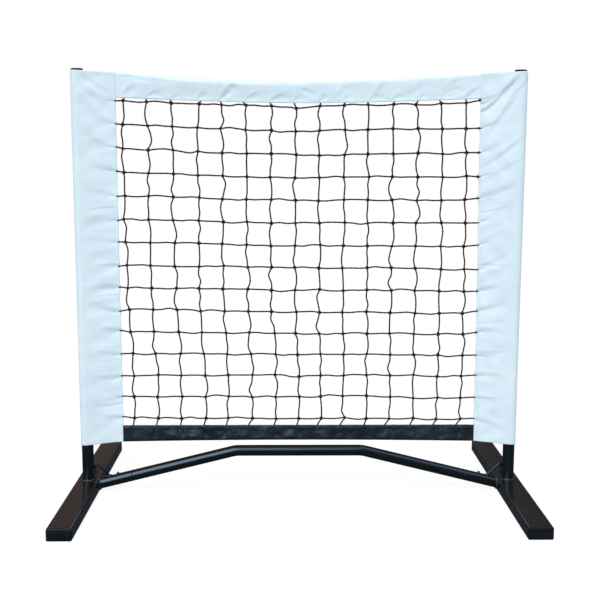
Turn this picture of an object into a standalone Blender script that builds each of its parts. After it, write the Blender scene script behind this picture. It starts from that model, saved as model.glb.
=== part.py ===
"""A portable net stand: two round posts on box-section feet, joined by an arched crossbar.

A square-mesh net hangs between fabric sleeves that slip over the posts. Metres, +Z up, the net
along X. The origin is on the floor midway between the posts.
"""

import math

import bmesh
import bpy
from mathutils import Vector

# Driving dimensions
POST_SPACING = 0.930
POST_TOP = 0.9115
TUBE_RADIUS = 0.0127
TUBE_WALL = 0.0015
FOOT_LENGTH = 0.596
FOOT_WIDTH = 0.050
FOOT_HEIGHT = 0.0254
FOOT_CORNER = 0.003
CROSSBAR_RADIUS = 0.012
CROSSBAR_TOP_Z = 0.0908
CROSSBAR_BEND_X = 0.139
CROSSBAR_SLOPE = 0.248
CROSSBAR_BEND_RADIUS = 0.070
JOINT_X = 0.367
BUTTON_X = 0.3966
GAP = 0.0003

POST_X = POST_SPACING / 2
STUB_TOP = 0.145
SPIGOT_RADIUS = TUBE_RADIUS - TUBE_WALL - GAP
SPIGOT_BOTTOM = 0.095
SPIGOT_TOP = 0.205
INSERT_RADIUS = CROSSBAR_RADIUS - TUBE_WALL - GAP
INSERT_IN_CROSSBAR = 0.050
INSERT_IN_STUB = 0.046

CAP_FLANGE = 0.003
CAP_ROUNDING = 0.002
CAP_PLUG = 0.018
CAP_WALL = 0.002
POST_CAP_FLANGE = 0.0025

BUTTON_RADIUS = 0.003
BUTTON_HEAD_RADIUS = 0.0036
BUTTON_HEAD_BOTTOM = 0.0066
BUTTON_HEAD_TOP = 0.0076
BUTTON_PROUD = 0.0042
SPRING_THICKNESS = 0.0005
SPRING_WIDTH = 0.006
SPRING_BEND_RADIUS = 0.002
SPRING_TURN_REACH = 0.030
SPRING_TURN_HALF = 0.003
GUSSET_RADIUS = 0.0025
GUSSET_LEG = (0.036, 0.0641)
GUSSET_LANDING_X = 0.4155
GUSSET_BEND_RADIUS = 0.003

FABRIC = 0.001
SLEEVE_EDGE_X = 0.386
SLEEVE_SEAM = 0.010
SLEEVE_SLACK = 0.0005
SLEEVE_TOP = (0.9105, 0.9065)
SLEEVE_BOTTOM = (0.1065, 0.112)
CORD_RADIUS = 0.0025
MESH_THICKNESS = 0.002
STRAND_WIDTH = 0.0028
MESH_COUNT = 15
MESH_COLUMN_PITCH = 0.0515
MESH_ROW_PITCH = 0.0482
MESH_SHIFT = -0.0095
MESH_TOP_ROW = 0.8385
MESH_TOP_END = 0.870
MESH_BOTTOM_END = 0.1255

ROUND_STEPS = 20
HIDDEN_STEPS = 16
SMALL_STEPS = 10
BEND_STEPS = 4
CORNER_STEPS = 3
BAND_SECTIONS = 10
SHARP_ANGLE = math.radians(35)
SIDES = {"left": -1, "right": 1}
ACROSS = Vector((0, 1, 0))


# Materials

def material(name, colour, roughness, metallic=0.0):
    made = bpy.data.materials.new(name)
    made.use_nodes = True
    shader = made.node_tree.nodes["Principled BSDF"]
    shader.inputs["Base Color"].default_value = (*colour, 1)
    shader.inputs["Roughness"].default_value = roughness
    shader.inputs["Metallic"].default_value = metallic
    return made


# Outlines and rings

def circle(centre, first, second, radius, steps=ROUND_STEPS):
    """Points round a circle that lies in the plane of the two unit vectors."""
    turns = [2 * math.pi * step / steps for step in range(steps)]
    return [centre + radius * (first * math.cos(a) + second * math.sin(a)) for a in turns]


def level_circle(x, z, radius, steps=ROUND_STEPS):
    return circle(Vector((x, 0, z)), Vector((1, 0, 0)), ACROSS, radius, steps)


def rounded_rectangle(x, y, z, width, height, corner):
    """A ring round a box section that runs along Y."""
    points = []
    for quarter, (right, up) in enumerate(((1, 1), (-1, 1), (-1, -1), (1, -1))):
        middle_x = x + right * (width / 2 - corner)
        middle_z = z + up * (height / 2 - corner)
        for step in range(CORNER_STEPS + 1):
            angle = math.pi / 2 * (quarter + step / CORNER_STEPS)
            reach = Vector((math.cos(angle), 0, math.sin(angle))) * corner
            points.append(Vector((middle_x, y, middle_z)) + reach)
    return points


def rounded_path(corners, bend_radius, steps=BEND_STEPS):
    """The corners' polyline in the XZ plane, with an arc in place of each inner corner."""
    path = [corners[0]]
    for before, corner, after in zip(corners, corners[1:], corners[2:]):
        arrive = (corner - before).normalized()
        leave = (after - corner).normalized()
        turn = arrive.angle(leave)
        start = corner - arrive * bend_radius * math.tan(turn / 2)
        inward = (leave - arrive * arrive.dot(leave)).normalized()
        for step in range(steps + 1):
            angle = turn * step / steps
            along = arrive * math.sin(angle) + inward * (1 - math.cos(angle))
            path.append(start + along * bend_radius)
    path.append(corners[-1])
    return path


def path_rings(path, section):
    """Rings along a path in the XZ plane. The section gives (across, upward) offsets."""
    rings = []
    for index, point in enumerate(path):
        before = path[max(index - 1, 0)]
        after = path[min(index + 1, len(path) - 1)]
        upward = (after - before).normalized().cross(ACROSS)
        rings.append([point + ACROSS * a + upward * u for a, u in section])
    return rings


def round_section(radius, steps=ROUND_STEPS):
    turns = [2 * math.pi * step / steps for step in range(steps)]
    return [(radius * math.cos(a), radius * math.sin(a)) for a in turns]


def trimmed(ring, along, point, normal):
    """The ring with each point slid along its tube until it meets a plane."""
    return [p + along * ((point - p).dot(normal) / along.dot(normal)) for p in ring]


# Solids

def add_part(name, rings, look, body, wall=False):
    """A skin over the rings, in order. With a wall the last ring joins the first one."""
    mesh = bmesh.new()
    loops = [[mesh.verts.new(point - body.location) for point in ring] for ring in rings]
    pairs = list(zip(loops, loops[1:]))
    if wall:
        pairs.append((loops[-1], loops[0]))
    else:
        mesh.faces.new(loops[0])
        mesh.faces.new(loops[-1])
    for near, far in pairs:
        for index in range(len(near)):
            after = (index + 1) % len(near)
            mesh.faces.new((near[index], near[after], far[after], far[index]))
    return finish_part(name, mesh, look, body)


def finish_part(name, mesh, look, body):
    bmesh.ops.recalc_face_normals(mesh, faces=mesh.faces)
    data = bpy.data.meshes.new(name)
    mesh.to_mesh(data)
    mesh.free()
    data.shade_smooth()
    data.set_sharp_from_angle(angle=SHARP_ANGLE)
    data.materials.append(look)
    part = bpy.data.objects.new(name, data)
    part.parent = body
    bpy.context.scene.collection.objects.link(part)
    return part


def upright_tube(name, x, span, radius, look, body, steps=ROUND_STEPS):
    bottom, top = span
    bore = radius - TUBE_WALL
    levels = ((bottom, radius), (top, radius), (top, bore), (bottom, bore))
    rings = [level_circle(x, z, r, steps) for z, r in levels]
    return add_part(name, rings, look, body, wall=True)


def body_frame(name, location=(0, 0, 0)):
    """An empty that the pieces of one rigid body hang from."""
    frame = bpy.data.objects.new(name, None)
    frame.location = location
    bpy.context.scene.collection.objects.link(frame)
    return frame


# Feet and posts

def foot(side_name, side, looks, base):
    x = side * POST_X
    z = FOOT_HEIGHT / 2
    half = FOOT_LENGTH / 2
    tube_end = half - CAP_FLANGE - GAP
    bore = (FOOT_WIDTH - 2 * TUBE_WALL, FOOT_HEIGHT - 2 * TUBE_WALL, FOOT_CORNER - TUBE_WALL)
    outside = (FOOT_WIDTH, FOOT_HEIGHT, FOOT_CORNER)
    ends = ((-tube_end, outside), (tube_end, outside), (tube_end, bore), (-tube_end, bore))
    rings = [rounded_rectangle(x, y, z, *size) for y, size in ends]
    add_part(f"{side_name}_foot_tube", rings, looks["paint"], base, wall=True)
    for end_name, end in (("front", -1), ("rear", 1)):
        foot_cap(f"{side_name}_{end_name}_foot_cap", x, z, end, half, looks["plastic"], base)


def foot_cap(name, x, z, end, half, look, base):
    """A plug for the box tube: a flange with a rounded edge, and a hollow stem."""
    shoulder = CAP_ROUNDING * (1 - math.sqrt(0.5))
    plug_shrink = TUBE_WALL + GAP
    plug_end = CAP_FLANGE + CAP_PLUG
    hollow_shrink = plug_shrink + CAP_WALL
    profile = (
        (0, CAP_ROUNDING),
        (shoulder, shoulder),
        (CAP_ROUNDING, 0),
        (CAP_FLANGE, 0),
        (CAP_FLANGE, plug_shrink),
        (plug_end, plug_shrink),
        (plug_end, hollow_shrink),
        (CAP_FLANGE, hollow_shrink),
    )
    rings = []
    for depth, shrink in profile:
        size = (FOOT_WIDTH - 2 * shrink, FOOT_HEIGHT - 2 * shrink, max(FOOT_CORNER - shrink, 0.0005))
        rings.append(rounded_rectangle(x, end * (half - depth), z, *size))
    add_part(name, rings, look, base)


def upright(side_name, side, looks, base, post_body):
    """The welded stub, the spigot in it, and the post that stands on the stub."""
    x = side * POST_X
    steel = looks["paint"]
    zinc = looks["zinc"]
    stub = (FOOT_HEIGHT + GAP, STUB_TOP)
    post = (STUB_TOP + GAP, POST_TOP)
    spigot = (SPIGOT_BOTTOM, SPIGOT_TOP)
    upright_tube(f"{side_name}_post_stub", x, stub, TUBE_RADIUS, steel, base)
    upright_tube(f"{side_name}_post_spigot", x, spigot, SPIGOT_RADIUS, zinc, base, HIDDEN_STEPS)
    upright_tube(f"{side_name}_post", x, post, TUBE_RADIUS, steel, post_body)
    post_cap(f"{side_name}_post_cap", x, looks["plastic"], post_body)


def post_cap(name, x, look, post_body):
    """A round plug with a thin flange, hollow from below."""
    seat = POST_TOP + GAP
    top = seat + POST_CAP_FLANGE
    rounding = POST_CAP_FLANGE / 2
    shoulder = rounding * (1 - math.sqrt(0.5))
    plug_bottom = POST_TOP - CAP_PLUG
    plug_bore = SPIGOT_RADIUS - CAP_WALL
    profile = (
        (top, TUBE_RADIUS - rounding),
        (top - shoulder, TUBE_RADIUS - shoulder),
        (top - rounding, TUBE_RADIUS),
        (seat, TUBE_RADIUS),
        (seat, SPIGOT_RADIUS),
        (plug_bottom, SPIGOT_RADIUS),
        (plug_bottom, plug_bore),
        (seat, plug_bore),
    )
    add_part(name, [level_circle(x, z, radius) for z, radius in profile], look, post_body)


# Crossbar, its stubs and the snap buttons in them

def crossbar_height(x):
    """Height of the crossbar's centre line outside its bends."""
    return CROSSBAR_TOP_Z - CROSSBAR_SLOPE * (abs(x) - CROSSBAR_BEND_X)


def on_slope(side, x):
    return Vector((side * x, 0, crossbar_height(x)))


def inward(side):
    """Unit vector along the sloping run, from the foot towards the middle."""
    return Vector((-side, 0, CROSSBAR_SLOPE)).normalized()


def outward_normal(side):
    """Unit vector square to the sloping run, pointing up."""
    return Vector((side * CROSSBAR_SLOPE, 0, 1)).normalized()


def crossbar(looks, base):
    corners = [
        on_slope(-1, JOINT_X),
        on_slope(-1, CROSSBAR_BEND_X),
        on_slope(1, CROSSBAR_BEND_X),
        on_slope(1, JOINT_X),
    ]
    corners[0] += inward(-1) * GAP
    corners[3] += inward(1) * GAP
    path = rounded_path(corners, CROSSBAR_BEND_RADIUS)
    outside = path_rings(path, round_section(CROSSBAR_RADIUS))
    bore = path_rings(path, round_section(CROSSBAR_RADIUS - TUBE_WALL))
    add_part("crossbar", outside + bore[::-1], looks["paint"], base, wall=True)


def crossbar_stub(side_name, side, looks, base):
    """The short sloping tube welded to the foot's inner face, mitred to that face."""
    face = Vector((side * (POST_X - FOOT_WIDTH / 2 - GAP), 0, 0))
    along = inward(side)
    path = [on_slope(side, POST_X - FOOT_WIDTH / 2), on_slope(side, JOINT_X)]
    outside = path_rings(path, round_section(CROSSBAR_RADIUS))
    bore = path_rings(path, round_section(CROSSBAR_RADIUS - TUBE_WALL))
    for rings in (outside, bore):
        rings[0] = trimmed(rings[0], along, face, Vector((1, 0, 0)))
    rings = outside + bore[::-1]
    return add_part(f"{side_name}_crossbar_stub", rings, looks["paint"], base, wall=True)


def crossbar_insert(side_name, side, looks, base):
    """The inner tube fixed in the crossbar's end, which slides into the stub."""
    joint = on_slope(side, JOINT_X)
    path = [joint - inward(side) * INSERT_IN_STUB, joint + inward(side) * INSERT_IN_CROSSBAR]
    outside = path_rings(path, round_section(INSERT_RADIUS, HIDDEN_STEPS))
    bore = path_rings(path, round_section(INSERT_RADIUS - TUBE_WALL, HIDDEN_STEPS))
    rings = outside + bore[::-1]
    return add_part(f"{side_name}_crossbar_insert", rings, looks["zinc"], base, wall=True)


def button_hole(side, tubes):
    """Cuts the button's hole through the top walls of the given tubes."""
    foot_point = on_slope(side, BUTTON_X)
    up = outward_normal(side)
    along = inward(side)
    radius = BUTTON_RADIUS + GAP
    ends = [foot_point + up * reach for reach in (BUTTON_HEAD_BOTTOM / 2, 2 * CROSSBAR_RADIUS)]
    rings = [circle(end, along, ACROSS, radius, HIDDEN_STEPS) for end in ends]
    cutter = add_part(f"button_hole_{side}", rings, None, body_frame(f"hole_frame_{side}"))
    cutter.hide_render = True
    cutter.display_type = "WIRE"
    for tube in tubes:
        cut = tube.modifiers.new("button_hole", "BOOLEAN")
        cut.object = cutter


def snap_button(side_name, side, looks):
    """A domed pin with a retaining head, upright about its own origin, then tilted."""
    shank_top = CROSSBAR_RADIUS + BUTTON_PROUD - BUTTON_RADIUS
    profile = [
        (BUTTON_HEAD_BOTTOM, BUTTON_HEAD_RADIUS),
        (BUTTON_HEAD_TOP, BUTTON_HEAD_RADIUS),
        (BUTTON_HEAD_TOP, BUTTON_RADIUS),
    ]
    for step in range(BEND_STEPS):
        angle = math.pi / 2 * step / BEND_STEPS
        height = shank_top + BUTTON_RADIUS * math.sin(angle)
        profile.append((height, BUTTON_RADIUS * math.cos(angle)))
    press = body_frame(f"{side_name}_button_press")
    rings = [level_circle(0, z, radius, HIDDEN_STEPS) for z, radius in profile]
    add_part(f"{side_name}_snap_button", rings, looks["zinc"], press)
    press.location = on_slope(side, BUTTON_X)
    press.rotation_euler.y = side * math.atan(CROSSBAR_SLOPE)


def snap_spring(side_name, side, looks, base):
    """A bent leaf inside the insert, one arm under the button and one on the far wall."""
    centre = on_slope(side, BUTTON_X)
    along = inward(side)
    up = outward_normal(side)
    upper = BUTTON_HEAD_BOTTOM - GAP - SPRING_THICKNESS / 2
    lower = -upper - 0.001
    stations = (
        (-0.005, upper),
        (0.005, upper),
        (SPRING_TURN_REACH, SPRING_TURN_HALF),
        (SPRING_TURN_REACH, -SPRING_TURN_HALF),
        (0.002, lower),
        (-0.004, lower),
    )
    corners = [centre + along * a + up * n for a, n in stations]
    half_width = SPRING_WIDTH / 2
    half_thick = SPRING_THICKNESS / 2
    section = [
        (-half_width, -half_thick),
        (half_width, -half_thick),
        (half_width, half_thick),
        (-half_width, half_thick),
    ]
    rings = path_rings(rounded_path(corners, SPRING_BEND_RADIUS), section)
    add_part(f"{side_name}_snap_spring", rings, looks["spring"], base)


def gusset_rod(side_name, side, looks, base):
    """A bent rod from the post stub's inner side down to the top of the crossbar stub."""
    leg_x = POST_X - TUBE_RADIUS - GAP - GUSSET_RADIUS
    landing = on_slope(side, GUSSET_LANDING_X) + outward_normal(side) * CROSSBAR_RADIUS
    leg = [Vector((side * leg_x, 0, height)) for height in GUSSET_LEG]
    path = rounded_path([*leg, landing], GUSSET_BEND_RADIUS)
    rings = path_rings(path, round_section(GUSSET_RADIUS, SMALL_STEPS))
    seat = landing + outward_normal(side) * GAP
    along = (landing - leg[1]).normalized()
    rings[-1] = trimmed(rings[-1], along, seat, outward_normal(side))
    add_part(f"{side_name}_gusset_rod", rings, looks["paint"], base)


# Net

def sleeve_outline(radius, tail_x, tail_half):
    """A teardrop round the post, as (inward distance, Y), with a straight tail end."""
    distance = math.hypot(tail_x, tail_half)
    start = math.atan2(tail_half, tail_x) + math.acos(radius / distance)
    steps = ROUND_STEPS - 2
    turns = [start + (2 * math.pi - 2 * start) * step / (steps - 1) for step in range(steps)]
    arc = [(radius * math.cos(a), radius * math.sin(a)) for a in turns]
    return arc + [(tail_x, -tail_half), (tail_x, tail_half)]


def sleeve(side_name, side, looks, net):
    """A pocket of two plies round the post, sewn together along its inner edge."""
    reach = POST_X - SLEEVE_EDGE_X
    bore = TUBE_RADIUS + SLEEVE_SLACK
    outside = sleeve_outline(bore + FABRIC, reach, FABRIC)
    pocket = sleeve_outline(bore, reach - SLEEVE_SEAM, FABRIC / 5)

    def ring(outline, edge):
        at_post, at_seam = edge
        points = []
        for x, y in outline:
            height = at_post + (at_seam - at_post) * x / reach
            points.append(Vector((side * (POST_X - x), y, height)))
        return points

    rings = [
        ring(outside, SLEEVE_BOTTOM),
        ring(outside, SLEEVE_TOP),
        ring(pocket, SLEEVE_TOP),
        ring(pocket, SLEEVE_BOTTOM),
    ]
    add_part(f"{side_name}_sleeve", rings, looks["fabric"], net, wall=True)


def net_mesh(looks, net):
    """Square netting as one flat grid: a face wherever a column or a row of twine runs."""
    half = STRAND_WIDTH / 2
    xs = [-SLEEVE_EDGE_X + GAP]
    zs = [MESH_TOP_END]
    for index in range(MESH_COUNT):
        x = MESH_SHIFT + MESH_COLUMN_PITCH * (index - (MESH_COUNT - 1) / 2)
        z = MESH_TOP_ROW - MESH_ROW_PITCH * index
        xs += [x - half, x + half]
        zs += [z + half, z - half]
    xs.append(SLEEVE_EDGE_X - GAP)
    zs.append(MESH_BOTTOM_END)
    mesh = bmesh.new()
    front = -MESH_THICKNESS / 2
    spots = {}

    def spot(i, j):
        if (i, j) not in spots:
            spots[i, j] = mesh.verts.new((xs[i], front, zs[j]))
        return spots[i, j]

    for i in range(len(xs) - 1):
        for j in range(len(zs) - 1):
            if i % 2 or j % 2:
                mesh.faces.new((spot(i, j), spot(i + 1, j), spot(i + 1, j + 1), spot(i, j + 1)))
    grown = bmesh.ops.extrude_face_region(mesh, geom=mesh.faces[:])
    back = [item for item in grown["geom"] if isinstance(item, bmesh.types.BMVert)]
    bmesh.ops.translate(mesh, verts=back, vec=(0, MESH_THICKNESS, 0))
    finish_part("net_mesh", mesh, looks["twine"], net)


def top_edge(x):
    """Height of the top band's fold, which sags between the posts."""
    return 0.8885 + 0.0180 * abs(x / SLEEVE_EDGE_X) ** 1.6


def top_hem(x):
    return 0.8445 + 0.0105 * abs(x / SLEEVE_EDGE_X) ** 1.6


def bottom_edge(x):
    return 0.1150 - 0.0035 * abs(x / SLEEVE_EDGE_X) ** 2


def bottom_hem(_x):
    return 0.1480


def band_section(fold_z, hem_z, up):
    """A folded tape as (Y, Z): the fold round a cord, both plies, the mouth for the mesh."""
    mouth = MESH_THICKNESS / 2 + GAP
    inside = CORD_RADIUS + GAP
    outside = inside + FABRIC
    centre = fold_z - up * outside
    steps = 2 * BEND_STEPS
    half_turn = [math.pi * step / steps for step in range(steps + 1)]
    outer = [(-outside * math.cos(a), centre + up * outside * math.sin(a)) for a in half_turn]
    inner = [(inside * math.cos(a), centre + up * inside * math.sin(a)) for a in half_turn]
    hems = [(mouth + FABRIC, hem_z), (mouth, hem_z)]
    far_hems = [(-mouth, hem_z), (-mouth - FABRIC, hem_z)]
    return outer + hems + inner + far_hems


def band(name, fold, hem, up, look, net):
    """A band from sleeve to sleeve, lofted through sections that follow its sag."""
    half = SLEEVE_EDGE_X - GAP
    rings = []
    for section in range(BAND_SECTIONS + 1):
        x = half * (2 * section / BAND_SECTIONS - 1)
        rings.append([Vector((x, y, z)) for y, z in band_section(fold(x), hem(x), up)])
    add_part(name, rings, look, net)


def band_cord(name, fold, up, look, net):
    """The rope in a band's fold, which carries the mesh."""
    half = SLEEVE_EDGE_X - 2 * GAP
    inset = FABRIC + GAP + CORD_RADIUS
    path = []
    for section in range(BAND_SECTIONS + 1):
        x = half * (2 * section / BAND_SECTIONS - 1)
        path.append(Vector((x, 0, fold(x) - up * (inset + GAP / 2))))
    add_part(name, path_rings(path, round_section(CORD_RADIUS, SMALL_STEPS)), look, net)


# Assembly

def clear_scene():
    for item in list(bpy.data.objects):
        bpy.data.objects.remove(item)


def make_looks():
    return {
        "paint": material("painted_steel", (0.012, 0.013, 0.016), 0.28),
        "plastic": material("black_plastic", (0.014, 0.015, 0.017), 0.5),
        "zinc": material("zinc_plated_steel", (0.55, 0.56, 0.58), 0.35, 1.0),
        "spring": material("spring_steel", (0.35, 0.35, 0.37), 0.3, 1.0),
        "fabric": material("coated_fabric", (0.64, 0.79, 0.88), 0.55),
        "vinyl": material("black_vinyl", (0.015, 0.017, 0.02), 0.35),
        "twine": material("twine", (0.03, 0.022, 0.018), 0.8),
        "cord": material("braided_cord", (0.7, 0.7, 0.68), 0.8),
    }


def main():
    clear_scene()
    looks = make_looks()
    base = body_frame("base")
    net = body_frame("net_lift")
    for side_name, side in SIDES.items():
        post_body = body_frame(f"{side_name}_post_lift", (side * POST_X, 0, STUB_TOP))
        foot(side_name, side, looks, base)
        upright(side_name, side, looks, base, post_body)
        stub = crossbar_stub(side_name, side, looks, base)
        insert = crossbar_insert(side_name, side, looks, base)
        button_hole(side, (stub, insert))
        snap_button(side_name, side, looks)
        snap_spring(side_name, side, looks, base)
        gusset_rod(side_name, side, looks, base)
        sleeve(side_name, side, looks, net)
    crossbar(looks, base)
    net_mesh(looks, net)
    band("top_band", top_edge, top_hem, 1, looks["fabric"], net)
    band("bottom_band", bottom_edge, bottom_hem, -1, looks["vinyl"], net)
    band_cord("top_cord", top_edge, 1, looks["cord"], net)
    band_cord("bottom_cord", bottom_edge, -1, looks["cord"], net)


main()
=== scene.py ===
import math

import bpy
import numpy as np
from mathutils import Matrix, Vector

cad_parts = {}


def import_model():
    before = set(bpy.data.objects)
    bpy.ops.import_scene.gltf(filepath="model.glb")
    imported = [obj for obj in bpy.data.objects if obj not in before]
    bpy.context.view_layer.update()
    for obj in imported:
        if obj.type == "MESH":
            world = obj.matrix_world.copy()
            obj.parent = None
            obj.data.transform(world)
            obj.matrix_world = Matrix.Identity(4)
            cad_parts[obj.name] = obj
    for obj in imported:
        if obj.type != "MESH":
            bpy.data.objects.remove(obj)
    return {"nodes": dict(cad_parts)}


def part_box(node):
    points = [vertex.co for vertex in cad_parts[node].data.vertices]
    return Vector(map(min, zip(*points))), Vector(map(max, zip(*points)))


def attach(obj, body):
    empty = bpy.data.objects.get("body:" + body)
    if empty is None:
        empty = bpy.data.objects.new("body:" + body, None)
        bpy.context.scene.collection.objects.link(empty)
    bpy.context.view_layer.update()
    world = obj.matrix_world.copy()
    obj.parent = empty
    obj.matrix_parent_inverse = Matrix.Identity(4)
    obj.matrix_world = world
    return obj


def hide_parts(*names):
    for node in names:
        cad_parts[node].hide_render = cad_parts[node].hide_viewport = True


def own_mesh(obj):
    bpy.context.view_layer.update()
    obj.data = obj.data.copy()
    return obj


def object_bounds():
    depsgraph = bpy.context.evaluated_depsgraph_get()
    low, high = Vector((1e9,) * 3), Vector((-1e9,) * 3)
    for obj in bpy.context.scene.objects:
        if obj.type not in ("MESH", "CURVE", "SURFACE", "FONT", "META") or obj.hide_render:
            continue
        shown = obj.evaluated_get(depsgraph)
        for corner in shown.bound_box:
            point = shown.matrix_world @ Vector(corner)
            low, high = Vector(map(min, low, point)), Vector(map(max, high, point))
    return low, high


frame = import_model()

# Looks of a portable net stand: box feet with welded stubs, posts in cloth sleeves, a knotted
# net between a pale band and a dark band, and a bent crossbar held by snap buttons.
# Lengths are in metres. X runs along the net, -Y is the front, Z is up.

cad_low, cad_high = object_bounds()

SIDES = {"left": -1, "right": 1}

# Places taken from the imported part

post_low, post_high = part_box("right_post")
sleeve_low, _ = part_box("right_sleeve")
stub_low, stub_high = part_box("right_post_stub")
foot_low, foot_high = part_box("right_foot_tube")

POST_X = (post_low.x + post_high.x) / 2
TUBE_RADIUS = (post_high.x - post_low.x) / 2
EDGE_X = sleeve_low.x

# The curves that the CAD solids follow, repeated here

TUBE_WALL = 0.0015
GAP = 0.0003
CROSSBAR_RADIUS = 0.012
CROSSBAR_TOP_Z = 0.0908
CROSSBAR_BEND_X = 0.139
CROSSBAR_SLOPE = 0.248
CROSSBAR_BEND_RADIUS = 0.070
JOINT_X = 0.367
BUTTON_X = 0.3966
BUTTON_HOLE_RADIUS = 0.0033
LEAF_THICKNESS = 0.0005
LEAF_WIDTH = 0.006
LEAF_UPPER_ARM = 0.00605
GUSSET_RADIUS = 0.0025
# The gusset rod's upright leg, as its lowest and highest Z
GUSSET_LEG = (0.036, 0.0641)
GUSSET_LANDING_X = 0.4155
GUSSET_BEND_RADIUS = 0.003
FOOT_CORNER = 0.003
# A sleeve's two ends, as height at the post and at the inner edge
SLEEVE_TOP = (0.9105, 0.9065)
SLEEVE_BOTTOM = (0.1065, 0.112)
SLEEVE_SEAM = 0.010
MESH_COUNT = 15
MESH_COLUMN_PITCH = 0.0515
MESH_ROW_PITCH = 0.0482
MESH_SHIFT = -0.0095
MESH_TOP_ROW = 0.8385

# Cloth and twine

CLOTH = 0.0008
WRAP_RADIUS = TUBE_RADIUS + 0.001
PLY = 0.0006
STITCH_RADIUS = 0.00028
STITCH_HEIGHT = 0.00022
STITCH_SHARE = 0.62
HEM_INSET = 0.0062
LOWER_SEAM = 0.0070
UPPER_SEAM = 0.0060
CROSSING_COLUMNS = 36
CROSSING_STITCHES = 20
CORD_RADIUS = 0.0025
FOLD_RADIUS = 0.0033
TWINE_RADIUS = 0.00165
GRID_STEP = 0.004
BAND_STEP = 0.004
BAND_COLUMNS = 27
BAND_TUCK = 0.004
PUCKER_SLOPE = 0.9


def bowed(middle, rise, power=2.0):
    """An edge of a band, as its height at X. It rises or drops from the middle to the sleeves."""
    return lambda x: middle + rise * abs(x / EDGE_X) ** power


top_edge = bowed(0.8885, 0.0180, 1.6)
top_hem = bowed(0.8445, 0.0105, 1.6)
bottom_edge = bowed(0.1150, -0.0035)
bottom_hem = bowed(0.1480, 0.0)


def smooth(value, low, high):
    """0 up to low, 1 from high, and a smooth step between them."""
    share = np.clip((value - low) / (high - low), 0, 1)
    return share * share * (3 - 2 * share)


# Materials

class Nodes:
    """Short ways to add nodes to a tree."""

    def __init__(self, tree):
        self.tree = tree

    def feed(self, socket, source):
        """Sets a socket to a number, a colour, or another node's output."""
        if isinstance(source, bpy.types.NodeSocket):
            self.tree.links.new(source, socket)
        else:
            socket.default_value = (*source, 1.0) if socket.type == "RGBA" else source

    def add(self, kind, output, inputs=None, **settings):
        """Adds a node and returns one of its outputs."""
        made = self.tree.nodes.new("ShaderNode" + kind)
        for name, value in settings.items():
            setattr(made, name, value)
        for name, source in (inputs or {}).items():
            self.feed(made.inputs[name], source)
        return made.outputs[output]

    def stretch(self, value, low=0.3, high=0.7, to_low=0.0, to_high=1.0, **settings):
        inputs = {"Value": value, "From Min": low, "From Max": high, "To Min": to_low, "To Max": to_high}
        return self.add("MapRange", "Result", inputs, **settings)


class Look(Nodes):
    """A material with one Principled shader."""

    def __init__(self, name, **inputs):
        self.material = bpy.data.materials.new(name)
        self.material.use_nodes = True
        super().__init__(self.material.node_tree)
        self.shader = self.tree.nodes["Principled BSDF"]
        for socket, value in inputs.items():
            self.feed(self.shader.inputs[socket.replace("_", " ")], value)
        self.place = self.add("TexCoord", "Object")

    def scaled(self, factors):
        return self.add("Mapping", "Vector", {"Vector": self.place, "Scale": factors})

    def axis(self, vector, name):
        return self.add("SeparateXYZ", name, {0: vector})

    def noise(self, scale, detail=3.0, roughness=0.5, vector=None):
        inputs = {"Scale": scale, "Detail": detail, "Roughness": roughness}
        inputs["Vector"] = self.place if vector is None else vector
        return self.add("TexNoise", "Fac", inputs)

    def maths(self, operation, first, second=0.0):
        return self.add("Math", 0, {0: first, 1: second}, operation=operation)

    def wave(self, coordinate, period):
        """A sine along one coordinate, from -1 to 1."""
        return self.maths("SINE", self.maths("MULTIPLY", coordinate, 2 * math.pi / period))

    def blend(self, share, first, second):
        """A colour between two colours."""
        return self.add("Mix", "Result", {"Factor": share, "A": first, "B": second}, data_type="RGBA")

    def colour(self, share, first, second):
        self.feed(self.shader.inputs["Base Color"], self.blend(share, first, second))

    def roughness(self, noise, low, high):
        self.feed(self.shader.inputs["Roughness"], self.stretch(noise, to_low=low, to_high=high))

    def bump(self, height, distance, strength=0.5):
        """Adds a height in front of any bump that is already there."""
        inputs = {"Height": height, "Distance": distance, "Strength": strength}
        normal = self.shader.inputs["Normal"]
        if normal.is_linked:
            inputs["Normal"] = normal.links[0].from_socket
        self.feed(normal, self.add("Bump", "Normal", inputs))

    def weave(self, period):
        across = self.wave(self.axis(self.place, "X"), period)
        upward = self.wave(self.axis(self.place, "Z"), period)
        self.bump(self.maths("MULTIPLY", across, upward), 0.00006)


def cloth_look():
    """Pale blue coated cloth: a fine weave under a soft coating, with faint crumpling."""
    look = Look("coated_cloth", Sheen_Weight=0.05, Sheen_Roughness=0.45, Specular_IOR_Level=0.08)
    cloudy = look.stretch(look.noise(7.0, 4.0, 0.6), 0.35, 0.65)
    fine = look.noise(55.0, 5.0, 0.65)
    tint = look.blend(cloudy, (0.590, 0.740, 0.840), (0.650, 0.790, 0.882))
    look.colour(look.stretch(fine, to_high=0.35), tint, (0.70, 0.83, 0.91))
    look.roughness(fine, 0.5, 0.66)
    look.bump(look.noise(24.0, 3.0, 0.55, look.scaled((0.8, 0.8, 1.5))), 0.0022, 0.6)
    look.bump(look.noise(95.0, 3.0, 0.6), 0.0006)
    look.weave(0.0009)
    return look.material


def vinyl_look():
    """Black coated tape: glossy film on cloth, with soft dents."""
    look = Look("black_vinyl", Coat_Weight=0.7, Coat_Roughness=0.22, Specular_IOR_Level=0.4)
    dents = look.noise(20.0, 1.5, 0.5, look.scaled((1.0, 1.0, 1.5)))
    cloudy = look.stretch(look.noise(12.0, 4.0, 0.6), 0.35, 0.65)
    look.colour(cloudy, (0.0050, 0.0080, 0.0110), (0.0110, 0.0160, 0.0215))
    look.roughness(dents, 0.30, 0.48)
    look.bump(dents, 0.0120, 0.9)
    look.bump(look.noise(160.0, 3.0, 0.6), 0.0004)
    look.weave(0.0011)
    return look.material


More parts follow.
